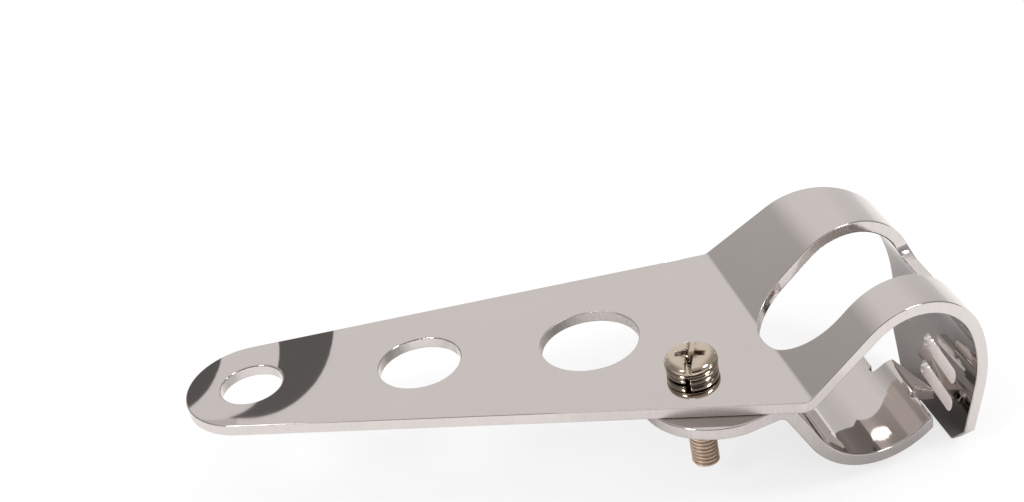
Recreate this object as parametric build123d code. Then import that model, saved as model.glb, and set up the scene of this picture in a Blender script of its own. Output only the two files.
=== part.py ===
"""Headlight mounting bracket for a motorcycle fork.

A tapered arm of bent sheet steel carries the lamp at its free end. Its other end
is opened by a round-ended window into two straps that roll over the fork tube and
meet again in a bridge with two slots. A separate strap under the arm closes the
clamp: its foot is tapped for the one clamp screw, which sits on a spring washer.
Lengths in millimetres. The fork tube runs along Y, X goes from the lamp end to the
fork, Z is square to the arm.
"""
import os
from math import acos, atan2, cos, degrees, hypot, pi, radians, sin, tan

from build123d import *

# sheet
sheet = 2.3                     # thickness of both stampings
rim = 0.35                      # rounding at the upper rim of the pierced holes
arm_top = 4.4                   # upper face of the arm above the fork axis
arm_under = arm_top - sheet

# arm, seen from above
reach, offset = 108.5, 32.2     # from the fork axis to the lamp bolt hole
lamp_hole = (-reach, offset)
arm_turn = -16.8                # the arm leaves the fork at a slant, degrees
end_radius = 12.4               # round end, concentric with the lamp bolt hole
taper_far, taper_near = 7.3, 7.9
lamp_hole_d = 11.6
middle_hole_d, middle_hole_at = 15.2, 31.6
large_hole_d, large_hole_at = 18.0, 63.0

# rolled straps
bend_x = -20.0                  # where the arm's upper face starts to climb
bend_radius = 2.2
corner_far_x, corner_near_x = -20.0, -21.0  # where the arm's edges turn into the straps' edges
loop_radius = 12.2              # inside of the roll over the fork tube
back_radius = 21.0              # flatter inside of the roll behind the tube
roll_to, back_to = 15.0, -18.0  # where each roll ends, degrees round the fork axis
bridge_foot = -20.6             # lower edge of the bridge
bridge_round = 1.2              # its two corners
strap_far_slope, strap_near_slope = -0.19, 0.15
corner_round = 1.5

# window
window_r = 9.7
window_at = (-10.95, -1.0)
window_slope = 0.165
window_floor = 3.1              # upper edge of the bridge
window_corner = 3.0

# slots in the bridge
slot_long, slot_wide = 13.2, 2.6
slot_upper, slot_lower = (-3.6, -9.65), (-4.8, -14.45)
slot_lean = 5.0                 # both rise away from the near strap

# clamp strap
foot_at, foot_radius = (-31.0, -5.2), 14.25
strap_slope = 0.15
drop_radius = 2.0
drop_angle = 63.0
cradle_at, cradle_radius = (-4.2, -1.2), 14.8
cradle_end = -58.0              # where the cradle stops, degrees round its own centre
tongue_wide = 11.0
tongue_long, tongue_short = 4.0, 1.05   # its slanted end beyond the crease, near and far side
tongue_fall = 16.0              # it points down by this angle
tongue_bend = 0.3               # inside radius at its crease
tongue_at = -0.5
nick = 0.7
back_near, back_far = 0.0, 2.65         # each shoulder stands this far behind the crease

# screw and its washer
screw_at = (foot_at[0] - 3.75, foot_at[1] + 1.45)
screw_d, screw_long = 5.0, 22.0
head_d, head_high = 9.4, 2.1
driver_slot, driver_deep = 1.2, 1.1
driver_turn = 64.6
clearance_hole = 5.6
spring_d, spring_bore, spring_thick = 9.2, 5.2, 1.3
spring_rise, spring_gap = 0.3, 10.0   # the coil's climb in a turn, and its split in degrees
spring_split = 240.0                   # where the split stands, from +X


def on_arm(along, across=0.0):
    """A point on the arm, measured from the lamp bolt hole."""
    a = radians(arm_turn)
    return (lamp_hole[0] + along * cos(a) - across * sin(a),
            lamp_hole[1] + along * sin(a) + across * cos(a))


def bent_strip(start, moves, thick):
    """Section of a bent strip. Its upper face follows the moves from the start, heading
    along +X; a move is a straight length or (turn in degrees, radius), left turns positive."""
    x, z = start
    h = 0.0
    upper, lower = [], []

    def below(px, pz, head):
        return (px + thick * sin(head), pz - thick * cos(head))

    for move in moves:
        if isinstance(move, tuple):
            turn, r = radians(move[0]), move[1]
            s = 1 if turn > 0 else -1
            cx, cz = x - s * r * sin(h), z + s * r * cos(h)
            pts = []
            for f in (0, 0.5, 1):
                k = h + f * turn
                px, pz = cx + s * r * sin(k), cz - s * r * cos(k)
                pts.append(((px, pz), below(px, pz, k)))
            upper.append(ThreePointArc(*[q[0] for q in pts]))
            lower.append(ThreePointArc(*[q[1] for q in pts]))
            h += turn
            x, z = pts[-1][0]
        else:
            nx, nz = x + move * cos(h), z + move * sin(h)
            upper.append(Line((x, z), (nx, nz)))
            lower.append(Line(below(x, z, h), below(nx, nz, h)))
            x, z = nx, nz
    start_cap = Line(start, below(*start, 0))
    end_cap = Line((x, z), below(x, z, h))
    return make_face(Wire(upper + [end_cap] + lower + [start_cap]))


def along_fork(face, near, far):
    """Sweep a section drawn in X and Z from near to far along the fork tube."""
    placed = Plane(origin=(0, near, 0), x_dir=(1, 0, 0), z_dir=(0, -1, 0)) * face
    return extrude(placed, amount=far - near, dir=(0, 1, 0))


def prism(points, low, high):
    """Upright prism over a plan outline."""
    return extrude(Plane.XY.offset(low) * make_face(Polyline(*points, close=True)), high - low)


def drilled(part, where, diameter, rounding=0.0):
    """Pierce the flat sheet and roll over the upper rim, where the punch went in."""
    part -= Pos(where[0], where[1], arm_under - 5) * Cylinder(
        diameter / 2, 20, align=(Align.CENTER, Align.CENTER, Align.MIN))
    if rounding:
        rims = [e for e in part.edges().filter_by(GeomType.CIRCLE)
                if abs(e.radius - diameter / 2) < 1e-3 and abs(e.arc_center.Z - arm_top) < 1e-3
                and hypot(e.arc_center.X - where[0], e.arc_center.Y - where[1]) < 0.1]
        part = fillet(rims, rounding)
    return part


def arm_outline():
    """Plan of the blank: round end, tapered arm, straps running on past the fork."""
    far_way, near_way = radians(arm_turn + taper_far), radians(arm_turn - taper_near)
    far_in = (lamp_hole[0] - end_radius * sin(far_way), lamp_hole[1] + end_radius * cos(far_way))
    near_in = (lamp_hole[0] + end_radius * sin(near_way), lamp_hole[1] - end_radius * cos(near_way))
    far_bend = far_in[1] + (corner_far_x - far_in[0]) * tan(far_way)
    near_bend = near_in[1] + (corner_near_x - near_in[0]) * tan(near_way)
    beyond = 30.0
    tip_way = radians(arm_turn + (taper_far - taper_near) / 2 + 180)
    tip = (lamp_hole[0] + end_radius * cos(tip_way), lamp_hole[1] + end_radius * sin(tip_way))
    far_end = far_bend + strap_far_slope * (beyond - corner_far_x)
    near_end = near_bend + strap_near_slope * (beyond - corner_near_x)
    face = make_face(Wire([
        ThreePointArc(far_in, tip, near_in),
        Line(near_in, (corner_near_x, near_bend)),
        Line((corner_near_x, near_bend), (beyond, near_end)),
        Line((beyond, near_end), (beyond, far_end)),
        Line((beyond, far_end), (corner_far_x, far_bend)),
        Line((corner_far_x, far_bend), far_in),
    ]))
    bends = [v for v in face.vertices()
             if min(abs(v.X - corner_near_x), abs(v.X - corner_far_x)) < 1e-6]
    return fillet(bends, corner_round)


def rolled_section():
    """Section of the arm and the roll over the fork tube."""
    r = loop_radius + sheet
    climb_at = atan2(arm_top, bend_x) - acos(r / hypot(bend_x, arm_top))
    climb = degrees(climb_at) - 90
    trim = bend_radius * tan(radians(climb) / 2)
    touch = (r * cos(climb_at), r * sin(climb_at))
    slope = hypot(touch[0] - bend_x, touch[1] - arm_top) - trim
    start = (lamp_hole[0] - 2 * end_radius, arm_top)
    flat = bend_x - trim - start[0]
    back = back_radius + sheet
    back_z = r * sin(radians(roll_to)) - back * sin(radians(roll_to)) + back * sin(radians(back_to))
    tail = (back_z - bridge_foot) / cos(radians(back_to))
    return bent_strip(start, [flat, (climb, bend_radius), slope,
                              (-(90 - roll_to) - climb, r), (back_to - roll_to, back), tail], sheet)


def window():
    """Round-ended opening between the straps, down to the bridge."""
    a = atan2(window_slope, 1)
    c = window_at
    wall = (-sin(a) * window_r, cos(a) * window_r)
    run = (reach * cos(a), reach * sin(a))
    outline = make_face(Wire([
        ThreePointArc((c[0] + wall[0], c[1] + wall[1]),
                      (c[0] - window_r * cos(a), c[1] - window_r * sin(a)),
                      (c[0] - wall[0], c[1] - wall[1])),
        Line((c[0] - wall[0], c[1] - wall[1]), (c[0] - wall[0] + run[0], c[1] - wall[1] + run[1])),
        Line((c[0] - wall[0] + run[0], c[1] - wall[1] + run[1]),
             (c[0] + wall[0] + run[0], c[1] + wall[1] + run[1])),
        Line((c[0] + wall[0] + run[0], c[1] + wall[1] + run[1]), (c[0] + wall[0], c[1] + wall[1])),
    ]))
    tall = extrude(outline, reach)
    side = 2 * reach
    plate_part = Pos(0, 0, -2 * arm_top) * (tall & Pos(-reach, 0, 0) * Box(side, side, side))
    back_part = Pos(0, 0, window_floor) * (tall & Pos(reach, 0, 0) * Box(side, side, side))
    lowest = [e for e in back_part.edges() if abs(e.center().Z - window_floor) < 1e-6
              and e.length > 20 and abs(e.tangent_at(0).X) > 0.9]
    back_part = fillet(lowest, window_corner)
    return plate_part, back_part


def bridge_slot(where):
    """One slot for the tongue, cut along X."""
    flat = Rot(0, 0, slot_lean) * SlotOverall(slot_long, slot_wide)
    plane = Plane(origin=(0, where[0], where[1]), x_dir=(0, -1, 0), z_dir=(1, 0, 0))
    return extrude(plane * flat, 40)


def main_bracket():
    body = along_fork(rolled_section(), -reach, reach)
    body &= extrude(Plane.XY.offset(-reach) * arm_outline(), 2 * reach)
    plate_part, back_part = window()
    body -= plate_part
    body -= back_part
    # the bridge narrows towards its lower edge
    side = Plane(origin=(6, 0, 0), x_dir=(0, 1, 0), z_dir=(1, 0, 0))
    far_cut = make_face(Polyline((24.4, 4.7), (20.6, -0.1), (18.8, -4.4), (14.2, -13.8), (7.6, -19.0),
                                 (6.0, -30), (60, -30), (60, 4.7), close=True))
    near_cut = make_face(Polyline((-17.4, -16.4), (-12.6, -21.2), (-12.6, -30), (-40, -30),
                                  (-40, -16.4), close=True))
    body -= extrude(side * far_cut, 20)
    body -= extrude(side * near_cut, 20)
    bottom = [e for e in body.edges().filter_by(GeomType.LINE)
              if sheet - 0.1 < e.length < sheet + 1.0 and e.center().Z < bridge_foot + 1.5]
    body = fillet(bottom, bridge_round)
    for where in (slot_upper, slot_lower):
        body -= bridge_slot(where)
    for along, d in ((0, lamp_hole_d), (middle_hole_at, middle_hole_d), (large_hole_at, large_hole_d)):
        body = drilled(body, on_arm(along), d, rim)
    body = drilled(body, screw_at, clearance_hole)
    return body


def clamp_section():
    """Section of the clamp strap: flat foot, drop, cradle under the tube, tongue."""
    turn = radians(drop_angle)
    way = radians(180 + 90 - drop_angle)
    touch = (cradle_at[0] + cradle_radius * cos(way), cradle_at[1] + cradle_radius * sin(way))
    fall = (arm_under - touch[1]) / sin(turn)
    corner = touch[0] - fall * cos(turn)
    outer = drop_radius + sheet
    trim = outer * tan(turn / 2)
    start = (foot_at[0] - foot_radius - 2, arm_under)
    rise = cradle_end + 90
    return bent_strip(start, [corner - trim - start[0], (-drop_angle, outer), fall - trim,
                              (drop_angle + rise, cradle_radius),
                              (-rise - tongue_fall, tongue_bend + sheet), tongue_long], sheet)


def crease_x():
    """The middle of the bend between the cradle and the tongue."""
    rise = cradle_end + 90
    middle = (rise - tongue_fall) / 2
    outer = tongue_bend + sheet
    return (cradle_at[0] + cradle_radius * cos(radians(cradle_end))
            + outer * (sin(radians(rise)) - sin(radians(middle))))


def rear_clamp_strap():
    body = along_fork(clamp_section(), -reach, reach)
    c, r = foot_at, foot_radius
    far_y, near_y = c[1] + r, c[1] - r
    run = 60.0
    plan = make_face(Wire([
        ThreePointArc((c[0], far_y), (c[0] - r, c[1]), (c[0], near_y)),
        Line((c[0], near_y), (c[0] + run, near_y + strap_slope * run)),
        Line((c[0] + run, near_y + strap_slope * run), (c[0] + run, far_y + strap_slope * run)),
        Line((c[0] + run, far_y + strap_slope * run), (c[0], far_y)),
    ]))
    body &= extrude(Plane.XY.offset(-reach) * plan, 2 * reach)
    # shoulders each side of the tongue, the far one standing back, with relief nicks
    half = tongue_wide / 2
    crease = crease_x()
    for side, behind in ((1, back_far), (-1, back_near)):
        y0, y1 = tongue_at + side * half, tongue_at + side * 40
        x0 = crease - behind
        body -= prism([(x0, y0), (crease + 20, y0), (crease + 20, y1), (x0, y1)], -30, 0)
        body -= Pos(x0, tongue_at + side * (half + nick), -20) * Cylinder(nick, 30)
    # the tongue's end is cut at a slant
    lean = (tongue_long - tongue_short) / tongue_wide
    body -= prism([(crease + tongue_long + lean, tongue_at - half - 1), (crease + 20, tongue_at - half - 1),
                   (crease + 20, tongue_at + half + 1), (crease + tongue_short - lean, tongue_at + half + 1)],
                  -30, 0)
    body -= Pos(screw_at[0], screw_at[1], arm_under - sheet - 2) * Cylinder(
        screw_d / 2, 10, align=(Align.CENTER, Align.CENTER, Align.MIN))
    return body


def clamp_screw():
    """Pan head with a slot through a cross, and a plain blank for the thread."""
    seat = arm_top + spring_thick + spring_rise
    r = head_d / 2
    head = make_face(Wire([
        Line((0, 0), (r, 0)), Line((r, 0), (r, head_high * 0.42)),
        ThreePointArc((r, head_high * 0.42), (r * 0.90, head_high * 0.76), (r * 0.62, head_high * 0.95)),
        ThreePointArc((r * 0.62, head_high * 0.95), (r * 0.31, head_high * 0.99), (0, head_high)),
        Line((0, head_high), (0, 0)),
    ]))
    body = revolve(Plane.XZ * head, Axis.Z)
    body -= Pos(0, 0, head_high - driver_deep / 2 + 0.1) * Box(head_d + 2, driver_slot, driver_deep + 0.2)
    tip = 0.7
    shank = make_face(Polyline((0, 0.2), (screw_d / 2 - 0.02, 0.2), (screw_d / 2 - 0.02, -screw_long + tip),
                               (screw_d / 2 - tip, -screw_long), (0, -screw_long), close=True))
    body += revolve(Plane.XZ * shank, Axis.Z)
    cross = loft([Pos(0, 0, head_high + 0.01) * Rectangle(1.3, 5.3),
                  Pos(0, 0, head_high - 2.4) * Rectangle(0.8, 1.6)])
    body -= cross
    body -= Rot(0, 0, 90) * cross
    return Pos(screw_at[0], screw_at[1], seat) * Rot(0, 0, driver_turn) * body


def spring_washer():
    """One open coil of square wire. It climbs from the plate to the head's underside."""
    mean = (spring_d + spring_bore) / 4
    wide = (spring_d - spring_bore) / 2
    part_turn = 1 - spring_gap / 360
    path = Helix(pitch=spring_rise / part_turn, height=spring_rise, radius=mean)
    start = Plane(origin=path @ 0, x_dir=(1, 0, 0), z_dir=path % 0)
    coil = sweep(start * Rectangle(wide, spring_thick), path=path, is_frenet=True)
    place = Pos(screw_at[0], screw_at[1], arm_top + spring_thick / 2)
    return place * Rot(0, 0, spring_split + spring_gap / 2) * coil


def nodes():
    return {
        "main_bracket": main_bracket(),
        "rear_clamp_strap": rear_clamp_strap(),
        "clamp_screw": clamp_screw(),
        "spring_washer": spring_washer(),
    }


os.makedirs("parts", exist_ok=True)
for name, shape in nodes().items():
    shape.label = name
    export_step(shape, f"parts/{name}.step")
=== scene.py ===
from math import atan2, cos, pi, radians, sin

import bmesh
import bpy
from mathutils import Matrix, Vector


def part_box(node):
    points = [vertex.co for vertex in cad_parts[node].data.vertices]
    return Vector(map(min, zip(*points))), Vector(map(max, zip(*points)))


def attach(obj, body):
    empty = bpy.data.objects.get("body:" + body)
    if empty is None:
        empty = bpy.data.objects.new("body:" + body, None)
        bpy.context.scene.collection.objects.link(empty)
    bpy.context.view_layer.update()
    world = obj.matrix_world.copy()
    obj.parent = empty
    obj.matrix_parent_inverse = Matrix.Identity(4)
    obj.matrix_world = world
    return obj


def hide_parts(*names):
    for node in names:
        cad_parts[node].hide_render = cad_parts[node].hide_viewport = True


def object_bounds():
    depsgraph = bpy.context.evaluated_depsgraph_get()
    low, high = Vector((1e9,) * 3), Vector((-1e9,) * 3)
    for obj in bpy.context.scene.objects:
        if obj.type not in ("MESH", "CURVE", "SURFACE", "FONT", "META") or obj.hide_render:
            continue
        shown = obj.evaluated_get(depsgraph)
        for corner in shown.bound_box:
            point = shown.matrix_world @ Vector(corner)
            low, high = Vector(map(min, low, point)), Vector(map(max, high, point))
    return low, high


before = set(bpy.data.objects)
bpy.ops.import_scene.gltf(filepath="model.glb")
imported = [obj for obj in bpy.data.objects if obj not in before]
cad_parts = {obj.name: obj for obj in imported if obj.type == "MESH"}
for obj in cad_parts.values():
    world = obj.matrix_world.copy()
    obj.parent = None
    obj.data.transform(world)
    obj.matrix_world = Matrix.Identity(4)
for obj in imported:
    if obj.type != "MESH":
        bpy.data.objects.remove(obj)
cad_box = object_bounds()

# The viewpoint: a longish lens, a little above the bracket and looking along the fork's axis from
# the near strap's side. The lamp end is on the left and the fork clamp on the right.
camera_at = Vector((-0.10622, -0.27692, 0.21041))
camera_right = Vector((0.94917, -0.26332, -0.17243))
camera_forward = Vector((0.13677, 0.83844, -0.52755))
lens_mm = 70.13

camera = bpy.data.objects.new("camera", bpy.data.cameras.new("camera"))
camera.data.lens = lens_mm
camera.data.clip_start = 0.01
camera_up = camera_right.cross(camera_forward)
axes = Matrix((camera_right, camera_up, -camera_forward)).transposed()
camera.matrix_world = Matrix.Translation(camera_at) @ axes.to_4x4()
bpy.context.collection.objects.link(camera)
bpy.context.scene.camera = camera


# The main bracket: one pressing of 2.3 mm steel, blanked, pierced, bent up into two straps that roll
# over the fork tube and plated with bright chrome. The plating is smooth on the sheet's own faces,
# and shows the tool's streaks where the sheet was cut through.
class Signal:
    """A shader socket that is written into sums."""

    def __init__(self, finish, socket):
        self.finish, self.socket = finish, socket

    def math(self, operation, first, second):
        return self.finish.node("ShaderNodeMath", {"operation": operation}, {0: first, 1: second})

    def __add__(self, other):
        return self.math("ADD", self, other)

    def __radd__(self, other):
        return self.math("ADD", other, self)

    def __sub__(self, other):
        return self.math("SUBTRACT", self, other)

    def __rsub__(self, other):
        return self.math("SUBTRACT", other, self)

    def __mul__(self, other):
        return self.math("MULTIPLY", self, other)

    def __rmul__(self, other):
        return self.math("MULTIPLY", other, self)


class Finish:
    """A surface finish under construction, on a material or on the world."""

    def __init__(self, owner):
        owner.use_nodes = True
        self.owner, self.tree = owner, owner.node_tree
        self.tree.nodes.clear()

    def node(self, kind, settings=None, sockets=None, out=0):
        made = self.tree.nodes.new(kind)
        for name, value in (settings or {}).items():
            if name == "stops":
                ramp = made.color_ramp.elements
                while len(ramp) < len(value):
                    ramp.new(0.5)
                for stop, (place, colour) in zip(ramp, value):
                    stop.position, stop.color = place, colour
            else:
                setattr(made, name, value)
        for key, value in (sockets or {}).items():
            if isinstance(value, Signal):
                self.tree.links.new(value.socket, made.inputs[key])
            else:
                made.inputs[key].default_value = value
        return Signal(self, made.outputs[out]) if len(made.outputs) else None

    def place(self, stretch=(1, 1, 1)):
        """Object coordinates in millimetres, stretched along each axis."""
        where = self.node("ShaderNodeTexCoord", out="Object")
        scale = [1000 * s for s in stretch]
        return self.node("ShaderNodeMapping", sockets={"Vector": where, "Scale": scale})

    def noise(self, size_mm, stretch=(1, 1, 1), detail=3.0):
        return self.node("ShaderNodeTexNoise", sockets={
            "Vector": self.place(stretch), "Scale": 1 / size_mm, "Detail": detail, "Roughness": 0.55})

    def blend(self, amount, one, other):
        return self.node("ShaderNodeMix", {"data_type": "RGBA"}, {0: amount, 6: one, 7: other}, out=2)

    def metal(self, colour, roughness, normal=None):
        links = {"Base Color": colour, "Metallic": 1.0, "Roughness": roughness}
        if normal:
            links["Normal"] = normal
        shader = self.node("ShaderNodeBsdfPrincipled", sockets=links)
        self.node("ShaderNodeOutputMaterial", sockets={"Surface": shader})
        return self.owner


def bright_chrome():
    """Polished plating on the sheet's faces: faint haze, a few dull specks and a soft unevenness."""
    finish = Finish(bpy.data.materials.new("bright_chrome"))
    haze = finish.noise(9.0)
    specks = finish.node("ShaderNodeValToRGB", {"stops": [(0.70, (0, 0, 0, 1)), (0.76, (1, 1, 1, 1))]},
                         {0: finish.noise(0.9, detail=4.0)})
    colour = finish.blend(haze, (0.560, 0.512, 0.490, 1), (0.540, 0.492, 0.468, 1))
    roughness = 0.022 + 0.020 * haze + 0.08 * specks
    uneven = finish.node("ShaderNodeBump", sockets={"Strength": 0.02, "Distance": 0.0002,
                                                    "Height": finish.noise(6.0, detail=1.0)})
    return finish.metal(colour, roughness, uneven)


def cut_edge_chrome():
    """Plating over the sheared edge: fine streaks run through the sheet, and it is duller over the foot."""
    finish = Finish(bpy.data.materials.new("cut_edge_chrome"))
    streaks = finish.noise(0.5, stretch=(1, 1, 0.12), detail=5.0)
    grain = finish.noise(0.22, detail=2.0)
    colour = finish.blend(streaks, (0.68, 0.63, 0.61, 1), (0.58, 0.53, 0.51, 1))
    torn = finish.node("ShaderNodeBump", sockets={"Strength": 0.05, "Distance": 0.00006,
                                                  "Height": 0.7 * streaks + 0.3 * grain})
    along = finish.node("ShaderNodeSeparateXYZ", sockets={
        0: finish.node("ShaderNodeTexCoord", out="Object")}, out="X")
    from_foot = finish.node("ShaderNodeMapRange", sockets={
        "Value": along, "From Min": -0.064, "From Max": -0.056})
    to_bend = finish.node("ShaderNodeMapRange", sockets={
        "Value": along, "From Min": -0.022, "From Max": -0.016})
    return finish.metal(colour, 0.05 + 0.09 * streaks + 0.38 * (from_foot - to_bend), torn)


def slot_wall_painted_sheen():
    """The slots' walls: satin, and coloured paler than the sheet round them; the paler colour is a painted
    reflection of the lamps they mirror.
    """
    finish = Finish(bpy.data.materials.new("slot_wall_painted_sheen"))
    colour = finish.blend(finish.noise(0.8), (0.88, 0.84, 0.82, 1), (0.80, 0.75, 0.73, 1))
    return finish.metal(colour, 0.28)


def rounded_copy(node, name, edge_mm, sharp_degrees, keep_above=None, crisp=None, crisp_mm=0.0):
    """The node's solid as one closed mesh with its sharp edges rounded over, some of them less."""
    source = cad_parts[node]
    mesh = source.data.copy()
    mesh.transform(source.matrix_world)
    mesh.materials.clear()
    form = bmesh.new()
    form.from_mesh(mesh)
    bmesh.ops.remove_doubles(form, verts=form.verts, dist=1e-6)
    if keep_above is not None:
        everything = form.verts[:] + form.edges[:] + form.faces[:]
        bmesh.ops.bisect_plane(form, geom=everything, plane_co=(0, 0, keep_above), plane_no=(0, 0, 1),
                               clear_inner=True)
        rim = [edge for edge in form.edges if edge.is_boundary]
        bmesh.ops.contextual_create(form, geom=rim)
    bmesh.ops.dissolve_limit(form, angle_limit=radians(0.3), verts=form.verts, edges=form.edges)
    sharp = [edge for edge in form.edges
             if len(edge.link_faces) == 2 and edge.calc_face_angle(0) > radians(sharp_degrees)]
    finer = [edge for edge in sharp if crisp and crisp((edge.verts[0].co + edge.verts[1].co) / 2)]
    wider = [edge for edge in sharp if edge not in finer]
    for chosen, width in ((wider, edge_mm), (finer, crisp_mm)):
        chosen = [edge for edge in chosen if edge.is_valid]
        if chosen and width:
            bmesh.ops.bevel(form, geom=chosen, offset=width / 1000, segments=3, profile=0.5,
                            affect="EDGES", clamp_overlap=False)
    for face in form.faces:
        face.smooth = True
    form.to_mesh(mesh)
    form.free()
    mesh.name = name
    piece = bpy.data.objects.new(name, mesh)
    bpy.context.collection.objects.link(piece)
    weighted = piece.modifiers.new("even_shading", "WEIGHTED_NORMAL")
    weighted.mode = "FACE_AREA"
    weighted.weight = 80
    return piece


def seat(piece, node):
    """The piece stands for its node and keeps the node's place; the node is hidden."""
    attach(piece, "root")
    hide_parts(node)


def sheet_direction(x, z):
    """Square to the sheet at this place of the bracket's section."""
    bend_x, climb_end, roll_end = -0.0200, -0.0078, radians(15)
    if x < bend_x:
        return Vector((0, 0, 1))
    if x < climb_end:
        climb = atan2(0.0145 * sin(radians(122.7)) - 0.0044, climb_end - bend_x)
        return Vector((-sin(climb), 0, cos(climb)))
    around = atan2(z, x)
    if around > roll_end:
        return Vector((cos(around), 0, sin(around)))
    flatter = Vector((-0.0085, 0, -0.0023))
    below = atan2(z - flatter.z, x - flatter.x)
    below = max(below, radians(-18))
    return Vector((cos(below), 0, sin(below)))


def at_the_slots(at):
    """Whether this place is at the bridge's two slots, which were punched crisply."""
    return at.x > 0.009 and -0.0125 < at.y < 0.0042 and -0.0170 < at.z < -0.0072


edge_round_mm = 0.30
main_bracket = rounded_copy("main_bracket", "main_bracket_plated", edge_round_mm, sharp_degrees=62,
                            crisp=at_the_slots, crisp_mm=0.08)
main_bracket.data.materials.append(bright_chrome())
main_bracket.data.materials.append(cut_edge_chrome())
main_bracket.data.materials.append(slot_wall_painted_sheen())
for face in main_bracket.data.polygons:
    square = sheet_direction(face.center.x, face.center.z)
    face.material_index = int(abs(face.normal.dot(square)) < 0.75)
    # The slot walls take the pale material, whose colour is a painted reflection.
    if face.material_index and at_the_slots(face.center):
        face.material_index = 2
seat(main_bracket, "main_bracket")

# The clamp strap: a second pressing of the same sheet. Its round foot lies against the arm's underside
# and takes the screw, and its cradle passes under the fork tube and ends in a hooked tongue.
clamp_strap = rounded_copy("rear_clamp_strap", "rear_clamp_strap_plated", edge_round_mm, sharp_degrees=54)
clamp_strap.data.materials.append(bpy.data.materials["bright_chrome"])
clamp_strap.data.materials.append(bpy.data.materials["cut_edge_chrome"])
for face in clamp_strap.data.polygons:
    face.material_index = int(abs(face.normal.y) > 0.75)
seat(clamp_strap, "rear_clamp_strap")


# The clamp screw: an M5 pan head screw with a slot through a cross, nickel plated and a little warm in
# colour. Its thread is rolled, and runs from just under the head to the chamfered tip.
def warm_plating(name, light, dark, roughness, recess_shade_centre=None):
    """Thin plating over steel, a little yellow, with darker patches where it was handled. Given a centre
    point, it is darkened round it: painted shade in the screw's cross recess.
    """
    finish = Finish(bpy.data.materials.new(name))
    patches = finish.noise(1.6)
    colour = finish.blend(patches, light, dark)
    if recess_shade_centre:
        # Painted shade: near-black brown in and round the cross recess, fading out from 1.9 to 2.7 mm from
        # the centre.
        away = finish.node("ShaderNodeVectorMath", {"operation": "DISTANCE"}, {
            0: finish.node("ShaderNodeTexCoord", out="Object"), 1: recess_shade_centre}, out="Value")
        painted_recess_shade = finish.node("ShaderNodeMapRange", {"interpolation_type": "SMOOTHSTEP"}, {
            "Value": away + 0.0006 * patches, "From Min": 0.0019, "From Max": 0.0027,
            "To Min": 0.85, "To Max": 0.0})
        colour = finish.blend(painted_recess_shade, colour, (0.17, 0.12, 0.08, 1))
    fine = finish.node("ShaderNodeBump", sockets={"Strength": 0.06, "Distance": 0.00003,
                                                  "Height": finish.noise(0.35)})
    return finish.metal(colour, roughness + 0.08 * patches, fine)


screw_low, screw_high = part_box("clamp_screw")
screw_axis = Vector(((screw_low[0] + screw_high[0]) / 2, (screw_low[1] + screw_high[1]) / 2, 0))
washer_low, washer_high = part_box("spring_washer")
head_seat = washer_high[2]
neck, tip_chamfer = 0.0001, 0.0006
screw_head = rounded_copy("clamp_screw", "clamp_screw_head", 0.12, sharp_degrees=60,
                          keep_above=head_seat - neck, crisp=lambda at: at.z > head_seat + 0.0004)
# The head's finish is darkened round a point in its cross recess, which is painted shade.
screw_head.data.materials.append(
    warm_plating("warm_nickel", (0.59, 0.50, 0.41, 1), (0.49, 0.40, 0.31, 1), 0.08,
                 recess_shade_centre=(screw_axis.x, screw_axis.y, screw_high[2] - 0.0012)))
seat(screw_head, "clamp_screw")


def thread_tree():
    """A core with a ridge wound round it, both from named sizes."""
    tree = bpy.data.node_groups.new("rolled_thread", "GeometryNodeTree")
    for name, value in (("Crest", 0.0025), ("Depth", 0.00046), ("Pitch", 0.0008), ("Length", 0.019)):
        size = tree.interface.new_socket(name, in_out="INPUT", socket_type="NodeSocketFloat")
        size.default_value = value
    tree.interface.new_socket("Finish", in_out="INPUT", socket_type="NodeSocketMaterial")
    tree.interface.new_socket("Geometry", in_out="OUTPUT", socket_type="NodeSocketGeometry")

    def node(kind, settings=None, sockets=None):
        made = tree.nodes.new(kind)
        for key, value in (settings or {}).items():
            setattr(made, key, value)
        for key, value in (sockets or {}).items():
            if isinstance(value, bpy.types.NodeSocket):
                tree.links.new(value, made.inputs[key])
            else:
                made.inputs[key].default_value = value
        return made

    def maths(operation, first, second):
        return node("ShaderNodeMath", {"operation": operation}, {0: first, 1: second}).outputs[0]

    sizes = tree.nodes.new("NodeGroupInput").outputs
    root = maths("SUBTRACT", sizes["Crest"], sizes["Depth"])
    turns = maths("DIVIDE", sizes["Length"], sizes["Pitch"])
    helix = node("GeometryNodeCurveSpiral", sockets={
        "Resolution": 48, "Rotations": turns, "Start Radius": root, "End Radius": root,
        "Height": sizes["Length"]})
    upright = node("GeometryNodeSetCurveNormal", {"mode": "Z_UP"}, {"Curve": helix.outputs[0]})
    ridge = node("GeometryNodeCurvePrimitiveCircle", {"mode": "RADIUS"}, {
        "Resolution": 6, "Radius": sizes["Depth"]})
    wound = node("GeometryNodeCurveToMesh", sockets={
        "Curve": upright.outputs[0], "Profile Curve": ridge.outputs[0], "Fill Caps": True})
    core = node("GeometryNodeMeshCylinder", {"fill_type": "NGON"}, {
        "Vertices": 48, "Radius": root, "Depth": sizes["Length"]})
    half = maths("MULTIPLY", sizes["Length"], 0.5)
    lift = node("ShaderNodeCombineXYZ", sockets={2: half})
    raised = node("GeometryNodeTransform", sockets={
        "Geometry": core.outputs["Mesh"], "Translation": lift.outputs[0]})
    both = node("GeometryNodeJoinGeometry")
    tree.links.new(raised.outputs[0], both.inputs[0])
    tree.links.new(wound.outputs[0], both.inputs[0])
    real = node("GeometryNodeRealizeInstances", sockets={"Geometry": both.outputs[0]})
    clad = node("GeometryNodeSetMaterial", sockets={
        "Geometry": real.outputs[0], "Material": sizes["Finish"]})
    tree.links.new(clad.outputs[0], tree.nodes.new("NodeGroupOutput").inputs[0])
    return tree


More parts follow.
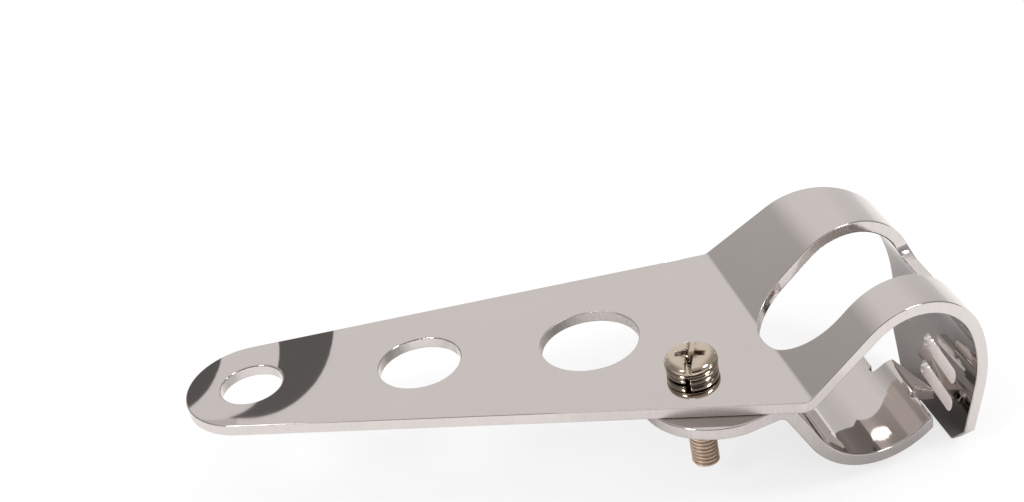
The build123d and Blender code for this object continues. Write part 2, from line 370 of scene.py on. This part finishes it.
thread_finish = warm_plating("warm_thread", (0.86, 0.70, 0.58, 1), (0.70, 0.56, 0.45, 1), 0.38)
maker = bpy.data.objects.new("thread_maker", bpy.data.meshes.new("thread_maker"))
bpy.context.collection.objects.link(maker)
winding = maker.modifiers.new("winding", "NODES")
winding.node_group = thread_tree()
thread_length = head_seat - neck - screw_low[2] - tip_chamfer
sizes_set = {"Crest": 0.00248, "Depth": 0.00018, "Pitch": 0.0008, "Length": thread_length,
             "Finish": thread_finish}
for socket in winding.node_group.interface.items_tree:
    if socket.name in sizes_set and socket.in_out == "INPUT":
        winding[socket.identifier] = sizes_set[socket.name]
evaluated = maker.evaluated_get(bpy.context.evaluated_depsgraph_get())
thread_mesh = bpy.data.meshes.new_from_object(evaluated)
bpy.data.objects.remove(maker)
thread_mesh.transform(Matrix.Translation((screw_axis.x, screw_axis.y, screw_low[2] + tip_chamfer)))
screw_thread = bpy.data.objects.new("clamp_screw_thread", thread_mesh)
bpy.context.collection.objects.link(screw_thread)
for face in screw_thread.data.polygons:
    face.use_smooth = True
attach(screw_thread, "root")

# The spring washer: one open coil of square wire, cut through at a slant. Its soft edges catch the lamps,
# and it carries the screw's plating in a slightly greyer tone.
washer_finish = warm_plating("washer_plating", (0.56, 0.50, 0.42, 1), (0.42, 0.36, 0.29, 1), 0.12)
spring_washer = rounded_copy("spring_washer", "spring_washer_plated", 0.25, sharp_degrees=60)
spring_washer.data.materials.append(washer_finish)
seat(spring_washer, "spring_washer")

# The table: plain and pale, just under the lowest point of the clamp. The chrome mirrors it darker close
# to the clamp, as far as the photo's reflections show, and the camera sees its shadow lightened.
table_half, table_gap, shadow_lift = 1.5, 0.0006, 0.72
low, high = cad_box
middle = Vector([(a + b) / 2 for a, b in zip(low, high)])
table_mesh = bpy.data.meshes.new("table")
corners = [(x * table_half, y * table_half, low[2] - table_gap)
           for x, y in ((-1, -1), (1, -1), (1, 1), (-1, 1))]
table_mesh.from_pydata(corners, [], [(0, 1, 2, 3)])
table = bpy.data.objects.new("table", table_mesh)
bpy.context.collection.objects.link(table)
pale = Finish(bpy.data.materials.new("pale_table"))
at_table = pale.node("ShaderNodeTexCoord", out="Object")
# For rays that the chrome mirrors, the table is painted darker near the clamp: a painted shadow under the
# clamp, which ends past x = 9 to 15 mm.
spot = pale.node("ShaderNodeVectorMath", {"operation": "DISTANCE"}, {
    0: at_table, 1: (-0.004, 0.010, low[2])}, out="Value")
shade = pale.node("ShaderNodeMapRange", sockets={
    "Value": spot, "From Min": 0.030, "From Max": 0.075, "To Min": 0.55, "To Max": 1.0})
beyond = pale.node("ShaderNodeMapRange", sockets={
    "Value": pale.node("ShaderNodeSeparateXYZ", sockets={0: at_table}, out="X"),
    "From Min": 0.009, "From Max": 0.015, "To Min": 0.0, "To Max": 0.45})
shade = pale.node("ShaderNodeMath", {"operation": "MINIMUM"}, {0: shade + beyond, 1: 1.0})
mirrored = pale.node("ShaderNodeLightPath", out="Is Glossy Ray")
dimmer = 1 - mirrored * (1 - shade)
tone = pale.blend(dimmer, (0.0, 0.0, 0.0, 1), (0.93, 0.93, 0.93, 1))
paint = pale.node("ShaderNodeBsdfDiffuse", sockets={"Color": tone})
white = pale.node("ShaderNodeEmission", sockets={"Color": (1, 1, 1, 1), "Strength": 1.0})
seen = pale.node("ShaderNodeLightPath", out="Is Camera Ray")
seen_paint = pale.node("ShaderNodeMixShader", sockets={0: shadow_lift * seen, 1: paint, 2: white})
pale.node("ShaderNodeOutputMaterial", sockets={"Surface": seen_paint})
table_mesh.materials.append(pale.owner)

# The cards: only the chrome sees them. They stand where they repeat the photo's own reflections: round ones
# beyond the arm's end for its dark crescents, black ones round the camera for the screw's front and the foot.
cards_middle = Vector((-0.1068, 0.1140, 0.0600))
cards_facing = Vector((0.0012, -0.8310, -0.5562))
to_the_right = Vector((1, 0, 0))
upwards = to_the_right.cross(-cards_facing)


def card(name, middle, right, up, outline, glow):
    """A flat card in the studio, with an even tone."""
    mesh = bpy.data.meshes.new(name)
    mesh.from_pydata([middle + right * a + up * b for a, b in outline], [], [tuple(range(len(outline)))])
    made = bpy.data.objects.new(name, mesh)
    bpy.context.collection.objects.link(made)
    even = Finish(bpy.data.materials.new(name))
    light = even.node("ShaderNodeEmission", sockets={"Color": (1, 1, 1, 1), "Strength": glow})
    clear = even.node("ShaderNodeBsdfTransparent")
    mirrored_only = even.node("ShaderNodeMixShader", sockets={
        0: even.node("ShaderNodeLightPath", out="Is Glossy Ray"), 1: clear, 2: light})
    even.node("ShaderNodeOutputMaterial", sockets={"Surface": mirrored_only})
    mesh.materials.append(even.owner)


def round_outline(across, above, radius):
    turns = [2 * pi * step / 96 for step in range(96)]
    return [((across + radius * cos(t)) / 1000, (above + radius * sin(t)) / 1000) for t in turns]


card_gap = 0.0003
for number, (name, across, above, radius, glow) in enumerate((
        ("grey_card", -31.0, 0.0, 24.0, 0.78), ("wide_dark_card", -0.4, -13.7, 20.9, 0.165),
        ("light_card", -9.1, -10.7, 15.8, 1.0), ("small_dark_card", -22.7, -16.2, 17.2, 0.155))):
    card(name, cards_middle + cards_facing * card_gap * number, to_the_right, upwards,
         round_outline(across, above, radius), glow)

# A strip light behind the far strap, near the table: the cradle shows it as one round highlight.
strip = [(-7.2, -18.9), (-14.7, -15.5), (-19.6, -10.4), (-22.4, -3.8), (-23.0, 6.9), (-20.7, 3.9),
         (-18.3, -2.5), (-15.5, -7.6), (-11.9, -12.1), (-6.3, -16.6)]
card("strip_card", Vector((0, 0.052, 0)), to_the_right, Vector((0, 0, 1)),
     [(x / 1000, z / 1000) for x, z in strip], 4.5)

screw_spot = Vector((screw_axis.x, screw_axis.y, 0.006))


def bearing(azimuth, elevation):
    """A direction. Azimuth turns from +Y towards +X."""
    a, e = radians(azimuth), radians(elevation)
    return Vector((sin(a) * cos(e), cos(a) * cos(e), sin(e)))


black_far, black_rise, black_turn, black_half_turn = 0.50, 34.0, -174.5, 0.585
black_low, side_card_out, side_card_top, black_glow = -0.16, 0.42, 0.22, 0.02
black_middle = screw_spot + bearing(black_turn, black_rise) * black_far
leftwards = bearing(black_turn, 0).cross(Vector((0, 0, 1)))
half_wide = black_far * cos(radians(black_rise)) * black_half_turn
step_up, foot_edge = 0.045, 0.222
card("black_card", black_middle, leftwards, Vector((0, 0, 1)),
     [(-half_wide, black_low), (half_wide, black_low), (half_wide, step_up),
      (-half_wide, step_up)], black_glow)
card("black_side_card", black_middle, leftwards, Vector((0, 0, 1)),
     [(foot_edge, step_up), (side_card_out, step_up), (side_card_out, side_card_top),
      (foot_edge, side_card_top)], black_glow)


# The studio: a white room, and two small lamps left and right of the camera. The room's darker sides repeat
# the photo's reflections, and only the chrome sees them.
def lamp(name, azimuth, elevation, distance, size, watts):
    """A round lamp that faces the bracket."""
    way = bearing(azimuth, elevation)
    data = bpy.data.lights.new(name, "AREA")
    data.shape, data.size, data.energy = "DISK", size, watts
    made = bpy.data.objects.new(name, data)
    made.location = middle + way * distance
    made.rotation_euler = (-way).to_track_quat("-Z", "Y").to_euler()
    bpy.context.collection.objects.link(made)


lamp("lamp_right", 127, 42, 0.9, 0.24, 1.9)
lamp("lamp_left", -117, 40, 0.9, 0.20, 1.4)

room = Finish(bpy.data.worlds.new("studio"))
bpy.context.scene.world = room.owner
facing = room.node("ShaderNodeTexCoord", out="Generated")


def towards(direction, inner, outer):
    """1 within the inner angle of a direction, falling to 0 at the outer one, in degrees."""
    close = room.node("ShaderNodeVectorMath", {"operation": "DOT_PRODUCT"},
                      {0: facing, 1: direction}, out="Value")
    return room.node("ShaderNodeMapRange", {"interpolation_type": "SMOOTHSTEP"}, {
        "Value": close, "From Min": cos(radians(outer)), "From Max": cos(radians(inner))})


level = 1.02 - 0.66 * towards(bearing(-70, 15), 15, 65)
level = level - 0.60 * towards(bearing(92, 15), 15, 65)
level = level - 0.55 * towards(bearing(-172, 25), 25, 62)
rays = room.node("ShaderNodeLightPath", out="Is Glossy Ray")
strength = rays * level + (1 - rays) * 1.0
backdrop = room.node("ShaderNodeBackground", sockets={"Color": (1.0, 1.0, 1.0, 1), "Strength": strength})
room.node("ShaderNodeOutputWorld", sockets={"Surface": backdrop})

bpy.context.scene.view_settings.view_transform = "Standard"
